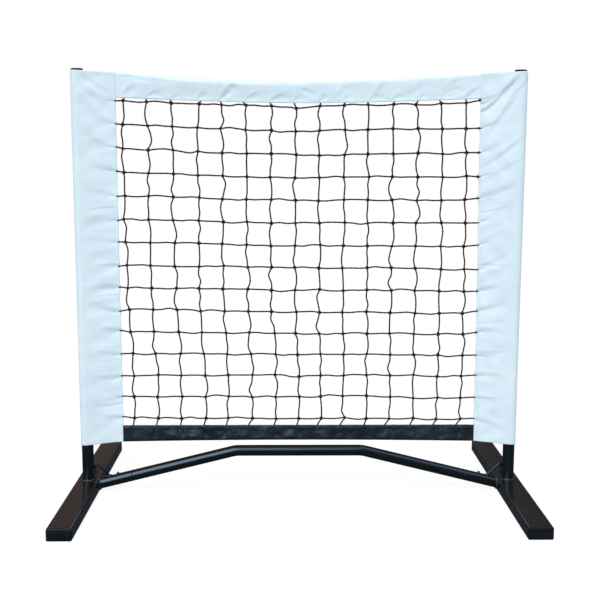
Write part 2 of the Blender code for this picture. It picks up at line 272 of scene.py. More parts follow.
def paint_look(name="painted_steel", painted_reflection=0.0):
    """Black gloss paint on steel: orange peel, small scuffs, and where asked, a painted warm reflection:
    brown mixed into the colour of upward-facing tops, in patches.
    """
    look = Look(name, Specular_IOR_Level=0.5)
    cloudy = look.noise(18.0, 5.0, 0.65)
    scuffs = look.noise(120.0, 4.0, 0.7, look.scaled((1.0, 6.0, 1.0)))
    colour = look.blend(look.stretch(cloudy), (0.0030, 0.0045, 0.0065), (0.0055, 0.0080, 0.0105))
    if painted_reflection:
        # Painted reflection: the warm surroundings that glossy tops mirror are painted in as brown on
        # upward-facing faces, patchy by noise
        upward = look.axis(look.add("NewGeometry", "Normal"), "Z")
        weighting = look.stretch(cloudy, 0.2, 0.75, 0.40, 1.0)
        painted_top_reflection = look.maths("MULTIPLY", look.stretch(upward, 0.6, 0.95, 0.0, painted_reflection), weighting)
        colour = look.blend(painted_top_reflection, colour, (0.0160, 0.0110, 0.0090))
    scuffed = look.maths("MULTIPLY", look.stretch(scuffs, 0.68, 0.76), 0.3)
    look.colour(scuffed, colour, (0.022, 0.025, 0.029))
    look.roughness(look.noise(45.0, 4.0, 0.6), 0.15, 0.23)
    look.bump(look.noise(240.0, 2.0, 0.5), 0.00005, 0.25)
    look.bump(scuffs, 0.00004, 0.25)
    return look.material


def weld_look():
    """Painted weld bead, rough, with a base colour lighter and bluer than the tube beside it: a painted
    highlight.
    """
    look = Look("painted_weld", Specular_IOR_Level=0.6)
    rough = look.noise(260.0, 4.0, 0.6)
    # Painted highlight: the lighter bluish colour stands in for the light the bead catches
    look.colour(look.stretch(rough, 0.35, 0.65), (0.008, 0.012, 0.016), (0.034, 0.044, 0.056))
    look.roughness(rough, 0.2, 0.42)
    look.bump(rough, 0.0006, 0.6)
    return look.material


def plastic_look():
    """Moulded black plastic with a fine grain."""
    look = Look("black_plastic", Specular_IOR_Level=0.25)
    cloudy = look.noise(40.0, 4.0, 0.6)
    look.colour(look.stretch(cloudy), (0.0035, 0.0048, 0.0070), (0.0065, 0.0085, 0.0115))
    look.roughness(cloudy, 0.32, 0.46)
    look.bump(look.noise(1500.0, 2.0, 0.5), 0.00012)
    return look.material


def metal_look(name, dull, bright, low, high):
    """Plated or bare steel with drawn streaks along it."""
    look = Look(name, Metallic=1.0)
    streaks = look.noise(220.0, 4.0, 0.6, look.scaled((1.0, 1.0, 12.0)))
    look.colour(look.stretch(look.noise(70.0, 5.0, 0.7), 0.35, 0.65), dull, bright)
    look.roughness(streaks, low, high)
    look.bump(streaks, 0.00008, 0.4)
    return look.material


def strand_look(name, dark, light, period, depth, roughness):
    """Laid or braided strands: slanting ridges in the strand's own coordinates, with painted shade in the
    grooves between them.
    """
    look = Look(name, Specular_IOR_Level=0.1)
    strand = look.add("UVMap", "UV", uv_map="strand")
    along = look.maths("DIVIDE", look.axis(strand, "X"), period)
    ridges = look.wave(look.maths("ADD", along, look.axis(strand, "Y")), 1.0)
    fibres = look.noise(900.0, 3.0, 0.6)
    # Painted shade: the colour follows the ridges' height, dark in the grooves and light on the crests
    groove_shaded_tone = look.blend(look.stretch(ridges, -1.0, 1.0), dark, light)
    look.colour(look.stretch(look.noise(25.0, 3.0, 0.6), 0.4, 0.7, 0.0, 0.5), groove_shaded_tone, dark)
    look.roughness(fibres, roughness - 0.08, roughness + 0.08)
    look.bump(ridges, depth, 0.8)
    look.bump(fibres, depth / 3)
    return look.material


def floor_look():
    """Pale studio floor with a trace of its own light, so that it fades into the background."""
    look = Look("studio_floor", Roughness=0.9, Specular_IOR_Level=0.0, Emission_Strength=0.90)
    look.colour(look.noise(3.0, 2.0), (0.110, 0.110, 0.112), (0.120, 0.120, 0.122))
    look.feed(look.shader.inputs["Emission Color"], (1.0, 1.0, 1.0))
    return look.material


LOOKS = {
    "cloth": cloth_look(),
    "vinyl": vinyl_look(),
    "paint": paint_look(),
    "foot_paint": paint_look("painted_foot", 0.9),
    "weld": weld_look(),
    "plastic": plastic_look(),
    "zinc": metal_look("zinc_plate", (0.42, 0.44, 0.47), (0.60, 0.61, 0.63), 0.25, 0.42),
    "button": metal_look("dark_button", (0.05, 0.052, 0.056), (0.11, 0.11, 0.12), 0.25, 0.4),
    "spring": metal_look("spring_leaf", (0.25, 0.25, 0.27), (0.38, 0.38, 0.40), 0.22, 0.35),
    "twine": strand_look("net_twine", (0.017, 0.013, 0.012), (0.052, 0.040, 0.035), 0.004, 0.0004, 0.85),
    "rope": strand_look("braided_rope", (0.50, 0.50, 0.48), (0.78, 0.78, 0.75), 0.006, 0.0006, 0.8),
    "pale_thread": strand_look("pale_thread", (0.60, 0.72, 0.80), (0.80, 0.88, 0.93), 0.0012, 0.0001, 0.6),
    "grey_thread": strand_look("grey_thread", (0.16, 0.17, 0.18), (0.34, 0.35, 0.36), 0.0012, 0.0001, 0.6),
    "floor": floor_look(),
}


# Meshes

class Skin:
    """Gathers tubes and lofts into one mesh, with coordinates along and round each of them."""

    def __init__(self):
        self.points = []
        self.faces = []
        self.coordinates = []
        self.count = 0

    def loft(self, rings, lengths=None, looped=False):
        """A skin over rings of points, shaped (rings, sides, 3), with its ends closed."""
        rings = np.asarray(rings, float)
        total, sides = rings.shape[:2]
        if lengths is None:
            lengths = travelled(rings.mean(axis=1))
        index = self.count + np.arange(total * sides).reshape(total, sides)
        if looped:
            index = np.concatenate([index, index[:1]])
            lengths = np.append(lengths, lengths[-1] + lengths[1])
        turned = np.roll(index, -1, axis=1)
        corners = (index[:-1], turned[:-1], turned[1:], index[1:])
        self.faces += np.stack(corners, axis=-1).reshape(-1, 4).tolist()
        for start, end in zip(lengths, lengths[1:]):
            for side in range(sides):
                low, high = side / sides, (side + 1) / sides
                self.coordinates += [(start, low), (start, high), (end, high), (end, low)]
        if not looped:
            self.faces += [index[0, ::-1].tolist(), index[-1].tolist()]
            self.coordinates += [(0.0, 0.0)] * (2 * sides)
        self.points.append(rings.reshape(-1, 3))
        self.count += total * sides
        return self

    def tube(self, path, radius, sides=8, reference=(0, 1, 0), looped=False):
        """A round tube along a path. The reference is a direction that the path never takes."""
        return self.loft(tube_rings(path, radius, sides, reference, looped), looped=looped)

    def object(self, name, look, sharp=None):
        mesh = bpy.data.meshes.new(name)
        mesh.from_pydata(np.concatenate(self.points).tolist(), [], self.faces)
        layer = mesh.uv_layers.new(name="strand")
        layer.data.foreach_set("uv", np.asarray(self.coordinates, np.float32).ravel())
        mesh.shade_smooth()
        if sharp:
            mesh.set_sharp_from_angle(angle=math.radians(sharp))
        return placed(name, mesh, look)


def linked(name, data):
    """A new object, linked to the scene."""
    made = bpy.data.objects.new(name, data)
    bpy.context.scene.collection.objects.link(made)
    return made


def placed(name, mesh, look):
    mesh.materials.append(LOOKS[look])
    return linked(name, mesh)


replaced = set()


def stand_in(piece, body, slot, *nodes):
    """Puts a piece on a body, in the place of the CAD nodes that are named."""
    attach(piece, body)
    if nodes:
        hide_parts(*nodes)
        replaced.update(nodes)


def unit(vectors):
    return vectors / np.maximum(np.linalg.norm(vectors, axis=-1, keepdims=True), 1e-12)


def tube_rings(path, radius, sides, reference=(0, 1, 0), looped=False):
    path = np.asarray(path, float)
    if looped:
        tangents = unit(np.roll(path, -1, axis=0) - np.roll(path, 1, axis=0))
    else:
        tangents = unit(np.gradient(path, axis=0))
    across = unit(np.cross(tangents, np.asarray(reference, float)))
    other = np.cross(across, tangents)
    angles = np.arange(sides) * 2 * math.pi / sides
    reach = np.broadcast_to(np.asarray(radius, float), len(path))[:, None, None]
    round_trip = across[:, None] * np.cos(angles)[:, None] + other[:, None] * np.sin(angles)[:, None]
    return path[:, None] + reach * round_trip


def travelled(points):
    """The distance along a polyline at each of its points."""
    return np.concatenate([[0], np.cumsum(np.linalg.norm(np.diff(points, axis=0), axis=1))])


def evenly(points, count):
    """That many points at equal steps along a polyline."""
    lengths = travelled(points)
    stops = np.linspace(0, lengths[-1], count)
    return np.stack([np.interp(stops, lengths, column) for column in points.T], axis=1)


def flowing(points, step):
    """A smooth curve through the points, sampled at about the given step."""
    points = np.asarray(points, float)
    padded = extended(points)
    pieces = []
    for a, b, c, d in zip(padded, padded[1:], padded[2:], padded[3:]):
        count = max(int(math.ceil(np.linalg.norm(c - b) / step)), 1)
        pieces += [catmull(a, b, c, d, share) for share in np.arange(count) / count]
    return np.asarray([*pieces, points[-1]])


def extended(points):
    """The points with one more at each end, a straight step beyond."""
    return np.concatenate([2 * points[:1] - points[1:2], points, 2 * points[-1:] - points[-2:-1]])


def catmull(a, b, c, d, share):
    return 0.5 * (
        2 * b
        + (c - a) * share
        + (2 * a - 5 * b + 4 * c - d) * share**2
        + (3 * b - a - 3 * c + d) * share**3
    )


def finer(grid):
    """Twice as many rows and columns, on smooth curves through the grid's own points."""
    for _ in range(2):
        padded = extended(grid)
        between = catmull(padded[:-3], padded[1:-2], padded[2:-1], padded[3:], 0.5)
        made = np.empty((2 * len(grid) - 1, *grid.shape[1:]))
        made[::2] = grid
        made[1::2] = between
        grid = made.swapaxes(0, 1)
    return grid


def grid_faces(rows, columns):
    index = np.arange(rows * columns).reshape(rows, columns)
    corners = (index[:-1, :-1], index[:-1, 1:], index[1:, 1:], index[1:, :-1])
    return np.stack(corners, axis=-1).reshape(-1, 4)


def sheet_object(name, grid, look):
    """A cloth sheet from a grid of points, given its real thickness."""
    mesh = bpy.data.meshes.new(name)
    mesh.from_pydata(grid.reshape(-1, 3).tolist(), [], grid_faces(*grid.shape[:2]).tolist())
    mesh.shade_smooth()
    made = placed(name, mesh, look)
    thicken = made.modifiers.new("thickness", "SOLIDIFY")
    thicken.thickness = CLOTH
    thicken.offset = 0
    return made


# Cloth

# Blender's cloth solver suits a sheet that is ten times larger
SIMULATION_SCALE = 10.0
CLOTH_SETTINGS = {
    "quality": 7,
    "mass": 0.15,
    "tension_stiffness": 25,
    "compression_stiffness": 25,
    "shear_stiffness": 12,
    "tension_damping": 6,
    "compression_damping": 6,
    "shear_damping": 6,
    "bending_damping": 0.4,
    "air_damping": 2.0,
}
GRAVITY_SHARE = 0.03


def relaxed(grid, cut, pins, frames, bending):
    """The grid after cloth simulation: it keeps the lengths of the cut sheet, held at its pins."""
    rows, columns = grid.shape[:2]
    mesh = bpy.data.meshes.new("cloth_work")
    points = grid.reshape(-1, 3) * SIMULATION_SCALE
    mesh.from_pydata(points.tolist(), [], grid_faces(rows, columns).tolist())
    work = linked("cloth_work", mesh)
    work.shape_key_add(name="hung")
    key = work.shape_key_add(name="cut")
    key.data.foreach_set("co", (cut.reshape(-1, 3) * SIMULATION_SCALE).ravel())
    group = work.vertex_groups.new(name="pins")
    for index, weight in enumerate(pins.ravel().tolist()):
        if weight > 0:
            group.add([index], weight, "REPLACE")
    cloth = work.modifiers.new("cloth", "CLOTH")
    for name, value in CLOTH_SETTINGS.items():
        setattr(cloth.settings, name, value)
    cloth.settings.bending_stiffness = bending
    cloth.settings.vertex_group_mass = "pins"
    cloth.settings.rest_shape_key = key
    cloth.settings.effector_weights.gravity = GRAVITY_SHARE
    cloth.collision_settings.use_collision = False
    cloth.point_cache.frame_start = 1
    cloth.point_cache.frame_end = frames
    for number in range(1, frames + 1):
        bpy.context.scene.frame_set(number)
    evaluated = work.evaluated_get(bpy.context.evaluated_depsgraph_get())
    weighting = np.empty(rows * columns * 3, np.float32)
    evaluated.data.vertices.foreach_get("co", weighting)
    bpy.data.objects.remove(work)
    bpy.data.meshes.remove(mesh)
    bpy.context.scene.frame_set(1)
    return weighting.reshape(rows, columns, 3).astype(float) / SIMULATION_SCALE


def ripples(x, z, seed, shortest, longest, count=14):
    """Smooth noise of about unit size, from waves in seeded directions."""
    draw = np.random.default_rng(seed).uniform
    total = np.zeros(np.broadcast(x, z).shape)
    for _ in range(count):
        angle = draw(0, 2 * math.pi)
        length = shortest * (longest / shortest) ** draw()
        phase = draw(0, 2 * math.pi)
        total += np.sin(2 * math.pi * (x * math.cos(angle) + z * math.sin(angle)) / length + phase)
    return total * math.sqrt(2 / count)


def crease(x, z, start, angle, length, width, depth, bow=0.0):
    """Height of one crease: a valley, steep above and gentle below, fading along its length."""
    dx, dz = x - start[0], z - start[1]
    along = dx * math.cos(angle) + dz * math.sin(angle)
    aside = -dx * math.sin(angle) + dz * math.cos(angle) - bow * along * along / length
    above = aside * math.copysign(1, math.cos(angle))
    fade = smooth(along, -0.15 * width, 0.6 * width) * (1 - smooth(along, 0.45 * length, length))
    return fade * valley(above, width * (1 + 0.8 * np.clip(along / length, 0, 1)), depth)


def valley(above, width, depth):
    """Section of a fold across its line: steep on its upper side, gentle on its lower side."""
    spread = np.where(above > 0, 0.7, 1.6) * width
    ridge = np.where(above > 0, 0.35, 0.0) * np.exp(-(((above - 1.8 * spread) / spread) ** 2))
    return depth * (ridge - np.exp(-((above / spread) ** 2)))


# Sleeves

REACH = POST_X - EDGE_X
ROWS_Z = [MESH_TOP_ROW - MESH_ROW_PITCH * row for row in range(MESH_COUNT)]


def row_height(row, x):
    """Height of a row of knots. The sag of the top row dies away further down."""
    sag = top_hem(x) - top_hem(0.0)
    weighting = smooth(row, 0.0, 2.0) * (1 - smooth(row, 8.5, 12.5))
    drop = 0.0048 * smooth(x, -0.33, -0.05) * weighting
    drop += 0.0030 * smooth(x, 0.12, 0.37) * (0.6 + 0.4 * smooth(row, 0, 3))
    dip = 0.0045 * math.exp(-((x / 0.045) ** 2)) * (1 - smooth(row, 0.2, 1.2))
    return ROWS_Z[row] + sag * max(0.0, 1 - row / 7) - drop - dip


def column_drift(row, x):
    """How far a knot stands to the right of its straight column."""
    lower = 0.0095 * smooth(row, 8.0, 12.6) * (1 - smooth(x, -0.08, 0.22))
    upper = 0.0030 * (1 - smooth(x, -0.36, -0.20)) * (1 - smooth(row, 6, 8))
    right = 0.0030 * smooth(x, 0.10, 0.34) * smooth(row, 0, 2)
    return 0.0010 + lower - upper + right


def sleeve_section():
    """A sleeve's mid surface across its width, as (distance in from the post's axis, Y)."""
    seam = REACH - SLEEVE_SEAM
    touch = math.atan2(PLY, seam) + math.acos(WRAP_RADIUS / math.hypot(seam, PLY))
    turns = np.linspace(-touch, touch - 2 * math.pi, 40)
    wrap = np.stack([WRAP_RADIUS * np.cos(turns), WRAP_RADIUS * np.sin(turns)], axis=1)
    corners = [[(REACH, -PLY), (seam, -PLY)], wrap, [(seam, PLY), (REACH, PLY)]]
    line = np.concatenate(corners)
    return evenly(line, int(round(travelled(line)[-1] / GRID_STEP)) + 1)


# Per side: shear of the cloth at the top, in the middle and at the bottom
SHEAR = {"left": (0.060, -0.010, -0.025), "right": (0.110, 0.020, -0.050)}
# Per side: slope of the creases at the strands, at the same three heights
STRAND_SLOPE = {"left": (0.10, -0.10, -0.36), "right": (0.36, 0.24, -0.42)}
HEIGHTS = (0.88, 0.50, 0.14)

# Per side: long folds that rise from the inner edge to the post, as height at the inner edge and
# at the outer edge, curl, width, depth by the inner edge, half way and by the outer edge
FURROWS = {
    "left": (
        (0.858, 0.908, 0.3, 0.0070, 0.0004, 0.0009, 0.0006),
        (0.822, 0.888, 0.2, 0.0100, 0.0006, 0.0010, 0.0005),
        (0.776, 0.862, 0.0, 0.0110, 0.0006, 0.0010, 0.0006),
        (0.728, 0.800, 0.0, 0.0110, 0.0005, 0.0008, 0.0004),
        (0.690, 0.742, 0.0, 0.0100, 0.0004, 0.0006, 0.0003),
    ),
    "right": (
        (0.828, 0.909, 0.8, 0.0032, 0.0032, 0.0014, 0.0012),
        (0.844, 0.909, 0.6, 0.0026, 0.0026, 0.0000, 0.0000),
        (0.828, 0.906, 0.6, 0.0085, 0.0010, 0.0026, 0.0008),
        (0.757, 0.890, 0.0, 0.0070, 0.0006, 0.0018, 0.0028),
        (0.790, 0.893, 0.2, 0.0022, 0.0000, 0.0000, 0.0030),
        (0.706, 0.772, 0.3, 0.0065, 0.0006, 0.0013, 0.0022),
        (0.676, 0.730, 0.2, 0.0070, 0.0005, 0.0009, 0.0009),
        (0.628, 0.690, 0.0, 0.0080, 0.0004, 0.0007, 0.0007),
    ),
}


def edge_rows(side_name):
    """Height of each strand where it enters a sleeve. Most rise a little from the last knot."""
    draw = np.random.default_rng(71 if side_name == "left" else 72).uniform
    low, high = (-0.003, 0.005) if side_name == "left" else (-0.0015, 0.0055)
    edge = SIDES[side_name] * EDGE_X
    return [row_height(row, edge) + draw(low, high) for row in range(MESH_COUNT)]


EDGE_ROWS = {side_name: edge_rows(side_name) for side_name in SIDES}


def widening(side_name, z):
    """The right sleeve is a little wider at the top."""
    return 0.0036 * smooth(z, 0.30, 0.78) if side_name == "right" else 0.0 * z


def at_height(z, values):
    return np.interp(z, HEIGHTS[::-1], values[::-1])


def sleeve_folds(side_name, inward, z, sharp):
    """Creases of a sleeve's face as a height, over distance in from the post and height."""
    draw = np.random.default_rng(11 if side_name == "left" else 12).uniform
    total = np.zeros(inward.shape)
    slopes = STRAND_SLOPE[side_name]
    for strand_z in EDGE_ROWS[side_name]:
        slope = at_height(strand_z, slopes) + draw(-0.10, 0.10)
        angle = math.pi - math.atan(slope)
        start = (REACH + 0.003, strand_z)
        length = draw(0.022, 0.038)
        total += crease(inward, z, start, angle, length, 0.0018, sharp * 0.0017)
        reach = draw(0.055, 0.095)
        bow = draw(-0.16, 0.16)
        depth = draw(0.5, 1.2) * at_height(strand_z, (0.0007, 0.0014, 0.0014))
        total += crease(inward, z, start, angle * 0.97, reach, 0.0055, depth, bow)
    for height in np.linspace(0.18, 0.64, 5) + draw(-0.04, 0.04, 5):
        slope = at_height(height, slopes) * 0.35 + draw(-0.05, 0.05)
        start = (draw(0.068, 0.082), height)
        angle = math.pi - math.atan(slope)
        depth = draw(0.0006, 0.0012)
        length = draw(0.062, 0.088)
        total += crease(inward, z, start, angle, length, 0.0024, sharp * depth, draw(-0.15, 0.15))
    return total


def furrows(side_name, inward, z):
    """The long folds near the top, which rise from the inner edge towards the top of the post."""
    across = np.clip((REACH - inward) / (REACH + WRAP_RADIUS), 0, 1)
    total = np.zeros(inward.shape)
    for inner, outer, curl, width, *depths in FURROWS[side_name]:
        rise = (outer - inner) * (across + curl * (smooth(across, 0, 1) - across))
        lean = math.cos(math.atan2(outer - inner, REACH + WRAP_RADIUS))
        depth = np.interp(across, (0.08, 0.5, 0.92), depths)
        total += valley((z - inner - rise) * lean, width, depth)
    return total


def near_strand(side_name, z, low, high):
    """1 at the height of each strand, and 0 further away."""
    near = np.min([np.abs(z - height) for height in EDGE_ROWS[side_name]], axis=0)
    return 1 - smooth(near, low, high)


def pushed(grid, front, inward, height):
    """Moves the plies by a height: each outward by the post, both together by the seam."""
    joined = smooth(inward, 0.026, 0.056)
    grid[..., 1] += front * height * (1 - joined) - height * joined


def sleeve(side_name, side):
    """A sleeve: its folded sheet, opened and creased a little, and then relaxed."""
    inward, y = sleeve_section().T
    rows = int(round((SLEEVE_TOP[0] - SLEEVE_BOTTOM[0]) / GRID_STEP))
    share = np.linspace(0, 1, rows + 1)[:, None]
    low, high = (outer + (inner - outer) * inward / REACH for outer, inner in (SLEEVE_BOTTOM, SLEEVE_TOP))
    z = low + (high - low) * share
    inward, y = inward + 0 * z, y + 0 * z
    front = np.sign(y)

    # The plies open round the ends of the two bands
    by_seam = smooth(inward, REACH - 0.028, REACH - SLEEVE_SEAM)
    opened = smooth(z, top_hem(EDGE_X) - 0.014, top_hem(EDGE_X)) + 1 - smooth(z, 0.150, 0.164)
    y += front * 0.0015 * by_seam * opened

    # They open round each strand too
    strand_gap = near_strand(side_name, z, 0.0015, 0.0055)
    y += front * 0.0011 * strand_gap * smooth(inward, REACH - 0.009, REACH - 0.002)

    wider = widening(side_name, z)
    flat = np.stack([side * (POST_X - inward * (1 + wider / REACH)), y, z], axis=-1)
    seeds = 0.6 * sleeve_folds(side_name, inward, z, 0.0) + furrows(side_name, inward, z)
    seeds += 0.0006 * ripples(inward, z, 21 + side, 0.03, 0.09)
    loose = smooth(inward, -0.006, 0.022) * (1 - 0.4 * smooth(inward, REACH - 0.012, REACH))
    start = flat.copy()
    pushed(start, front, inward, seeds * loose)
    pulled = near_strand(side_name, z, 0.002, MESH_ROW_PITCH / 2) * (1 - smooth(opened, 0, 0.2))
    start[..., 0] -= side * 0.0012 * pulled * smooth(inward, REACH - 0.02, REACH)

    heights = np.linspace(0.1, 0.92, 83)
    slid = np.interp(z, heights, np.cumsum(at_height(heights, SHEAR[side_name])) * 0.01)
    cut = flat.copy()
    cut[..., 0] -= side * slid
    cut[..., 2] = 0.5 + (z - 0.5) * 1.020

    held = 1 - smooth(inward, -0.002, 0.010)
    at_edge = np.zeros(z.shape)
    at_edge[:, [0, -1]] = 1
    held = np.maximum(held, at_edge * np.maximum(smooth(pulled, 0.75, 0.95), smooth(opened, 0.4, 0.9)))
    finish_sleeve(side_name, side, relaxed(start, cut, held, frames=24, bending=0.6))


def finish_sleeve(side_name, side, grid):
    """Evens out the small buckles, adds the sharp creases, and keeps the plies apart."""
    grid[1:-1, :, 1] = (grid[:-2, :, 1] + 2 * grid[1:-1, :, 1] + grid[2:, :, 1]) / 4
    grid = finer(grid)
    inward = POST_X - side * grid[..., 0]
    z = grid[..., 2]
    front = faces_of(grid)
    creased = 0.75 * sleeve_folds(side_name, inward, z, 1.0) * smooth(inward, -0.004, 0.022)
    creased += 0.5 * furrows(side_name, inward, z) * (0.4 + 0.6 * smooth(inward, 0.002, 0.020))
    pushed(grid, front, inward, creased)

    mirrored = grid[:, ::-1, 1]
    middle = np.clip((grid[..., 1] + mirrored) / 2, -0.006, 0.006)
    apart = np.maximum((grid[..., 1] - mirrored) / 2 * front, PLY)
    grid[..., 1] = middle + front * apart

    cloth = sheet_object(f"{side_name}_sleeve_cloth", grid, "cloth")
    step = GRID_STEP / 2
    crossing = (LOWER_SEAM / step, len(grid) - 1 - UPPER_SEAM / step)
    threads = stitches(
        f"{side_name}_sleeve", grid, "pale_thread", inset=HEM_INSET / step, margin=3, count=210,
        crossing=crossing,
    )
    stand_in(cloth, "net", "coated_fabric", f"{side_name}_sleeve")
    stand_in(threads, "net", "coated_fabric")


def faces_of(grid):
    """-1 for the columns of a folded sheet's front face, and 1 for those of its rear face."""
    columns = grid.shape[1]
    return np.where(np.arange(columns) < columns / 2, -1.0, 1.0)[None, :]


def by_sleeve(x, low, high):
    """0 further than the first distance from a sleeve's edge, and 1 nearer than the second."""
    return smooth(np.abs(x), EDGE_X - low, EDGE_X - high)


def on_grid(grid, row, column):
    """A point of the grid at a row and a column that need not be whole numbers."""
    rows, columns = grid.shape[:2]
    i = int(min(max(row, 0), rows - 1.001))
    j = int(min(max(column, 0), columns - 1.001))
    a, b = row - i, column - j
    near = grid[i, j] * (1 - b) + grid[i, j + 1] * b
    far = grid[i + 1, j] * (1 - b) + grid[i + 1, j + 1] * b
    return near * (1 - a) + far * a


def stitch_line(skin, grid, start, end, count, face):
    """Stitches along a straight line in the grid, each a short thread that dips in at its ends."""
    start, end = np.asarray(start, float), np.asarray(end, float)
    outward = np.array([0.0, face, 0.0])
    lift = np.array([0.0, 1.0, 1.0, 0.0])[:, None] * STITCH_HEIGHT + CLOTH / 2
    radii = np.array([0.6, 1.0, 1.0, 0.6]) * STITCH_RADIUS
    for number in range(count):
        shares = [(number + STITCH_SHARE * part) / count for part in (0, 0.25, 0.75, 1)]
        path = np.array([on_grid(grid, *(start + (end - start) * share)) for share in shares])
        skin.tube(path + lift * outward, radii, 5, reference=outward)


def stitches(name, grid, thread, inset, margin, count, crossing=()):
    """Stitches on both faces: a line along the hem, and short lines across the sheet at some rows."""
    skin = Skin()
    rows, columns = grid.shape[:2]
    for face, edge in ((-1, 0), (1, columns - 1)):
        hem = edge - face * inset
        stitch_line(skin, grid, (margin, hem), (rows - 1 - margin, hem), count, face)
        for row in crossing:
            far = edge - face * CROSSING_COLUMNS
            stitch_line(skin, grid, (row, edge - face), (row, far), CROSSING_STITCHES, face)
    return skin.object(f"{name}_stitches", thread)


# Bands

def band_section(x, fold, hem, up, count):
    """A folded tape's mid surface at x, as (Y, Z), from the front hem over the fold to the rear."""
    taper = 1 - 0.62 * float(by_sleeve(x, 0.030, 0.004))
    radius = FOLD_RADIUS * taper
    ply = 0.0022 * (0.45 + 0.55 * taper)
    centre = fold(x) - up * (CLOTH / 2 + radius)
    turns = np.linspace(0, math.pi, 9)
    wrap = [(-radius * math.cos(a), centre + up * radius * math.sin(a)) for a in turns]
    corners = np.array([(-ply, hem(x))] + wrap + [(ply, hem(x))])
    return evenly(corners, count)


def band_grid(fold, hem, up):
    half = EDGE_X + BAND_TUCK
    grid = []
    for x in np.linspace(-half, half, int(round(2 * half / BAND_STEP)) + 1):
        grid.append([(x, y, z) for y, z in band_section(x, fold, hem, up, BAND_COLUMNS)])
    return np.array(grid)


def knot_x(column):
    return MESH_SHIFT + MESH_COLUMN_PITCH * (column - (MESH_COUNT - 1) / 2)


def band_puckers(x, z, hem, up, seed, depth):
    """Small creases that start at the hem over each strand and lean along the band."""
    draw = np.random.default_rng(seed).uniform
    total = np.zeros(x.shape)
    for column in range(MESH_COUNT):
        start_x = knot_x(column) + draw(-0.003, 0.003)
        lean = PUCKER_SLOPE + draw(-0.25, 0.25)
        start = (start_x, float(hem(start_x)) + up * 0.001)
        angle = lean if up > 0 else -lean
        size = draw(0.5, 1.3)
        total += crease(x, z, start, angle, 0.026 * size, 0.0017, 0.8 * depth * size, -0.45)
        total += crease(x, z, start, angle, 0.046 * size, 0.0050, 0.7 * depth * size, -0.4)
    return total


def band_roll(x, share, swell, seed):
    """The face bulges out and slopes back to the hem, more on the left than on the right."""
    lively = 0.9 + 0.3 * ripples(x, 0 * x, seed + 40, 0.16, 0.42, 8)
    lively = np.clip(lively, 0.3, 1.4) * (1 - 0.75 * smooth(x, -0.02, 0.10)) * smooth(x, -0.40, -0.24)
    peak = 0.02 + 0.15 * smooth(x, -0.36, -0.20)
    bulge = smooth(share, peak - 0.34, peak - 0.02) * (1 - smooth(share, peak - 0.02, 0.92))
    return swell * lively * bulge


# Folds of the top band: X, distance below the top, angle, length, width and depth. Three are on
# the left, one is in the middle, and the four on the right are broad and soft.
TOP_BAND_TWISTS = (
    (-0.376, 0.004, -0.20, 0.130, 0.0034, 0.0016),
    (-0.168, 0.002, -0.85, 0.052, 0.0040, -0.0006),
    (-0.150, 0.008, -0.75, 0.036, 0.0050, 0.0010),
    (0.006, 0.014, -0.55, 0.036, 0.0034, 0.0015),
    (0.080, 0.036, 0.75, 0.048, 0.0065, 0.0011),
    (0.155, 0.036, 0.70, 0.050, 0.0065, 0.0013),
    (0.230, 0.036, 0.60, 0.052, 0.0065, 0.0012),
    (0.300, 0.034, 0.55, 0.056, 0.0060, 0.0013),
)


def top_band_twists(x, z):
    """The single folds of the top band, which start at the listed distances below its top."""
    total = np.zeros(x.shape)
    for start_x, drop, angle, length, width, depth in TOP_BAND_TWISTS:
        start = (start_x, float(top_edge(start_x)) - drop)
        total += crease(x, z, start, angle, length, width, depth, 0.12)
    return total


def band(name, node, fold, hem, up, look, slot, thread, seed, depth, slack, swell):
    """A tape folded over its rope: puckered at the strands, bulging by the swell, then relaxed."""
    grid = band_grid(fold, hem, up)
    x, z = grid[..., 0], grid[..., 2]
    face = faces_of(grid)
    from_fold = np.abs(z - fold(x))
    by_hem = smooth(from_fold, 0.0015, 0.0080)
    by_end = 1 - by_sleeve(x, 0.018, 0)
    start = grid.copy()
    share = from_fold / np.abs(hem(x) - fold(x))
    heights = 0.00035 * ripples(x, z * 0.5, seed, 0.024, 0.08)
    heights = heights + band_puckers(x, z, hem, up, seed, depth) + band_roll(x, share, swell, seed)
    twists = top_band_twists(x, z) if up > 0 else 0 * x
    heights += np.where(face < 0, twists, 0.5 * twists[:, ::-1])
    start[..., 1] += face * heights * by_hem * by_end
    cut = grid.copy()
    cut[..., 0] *= 1 + slack
    cut[..., 0] += up * 0.06 * (z - fold(x))
    held = by_sleeve(x, 0.012, 0.002)
    at_hem = np.zeros(x.shape)
    at_hem[:, [0, -1]] = 1
    strands = np.min([np.abs(x - knot_x(column)) for column in range(MESH_COUNT)], axis=0)
    held = np.maximum(held, at_hem * (1 - smooth(strands, 0.003, 0.006)))
    held = np.maximum(held, 1 - smooth(from_fold, 0.001, 0.004))
    grid = finer(relaxed(start, cut, held, frames=20, bending=0.5))

    x, z = grid[..., 0], grid[..., 2]
    face = faces_of(grid)
    by_hem = smooth(np.abs(z - fold(x)), 0.004, 0.012)
    by_end = 1 - by_sleeve(x, 0.018, 0)
    grid[..., 1] += face * band_puckers(x, z, hem, up, seed, depth) * by_hem * by_end * 0.7
    at_twine = by_end * (1 - smooth(np.abs(z - hem(x)), 0.0036, 0.0062))
    inside = PLY + by_end * CLOTH / 2 + at_twine * (TWINE_RADIUS - PLY + 0.0002)
    grid[..., 1] = np.where(face * grid[..., 1] < inside, face * inside, grid[..., 1])

    cloth = sheet_object(name, grid, look)
    threads = stitches(name, grid, thread, inset=2.6, margin=4, count=205)
    stand_in(cloth, "net", slot, node)
    stand_in(threads, "net", slot)


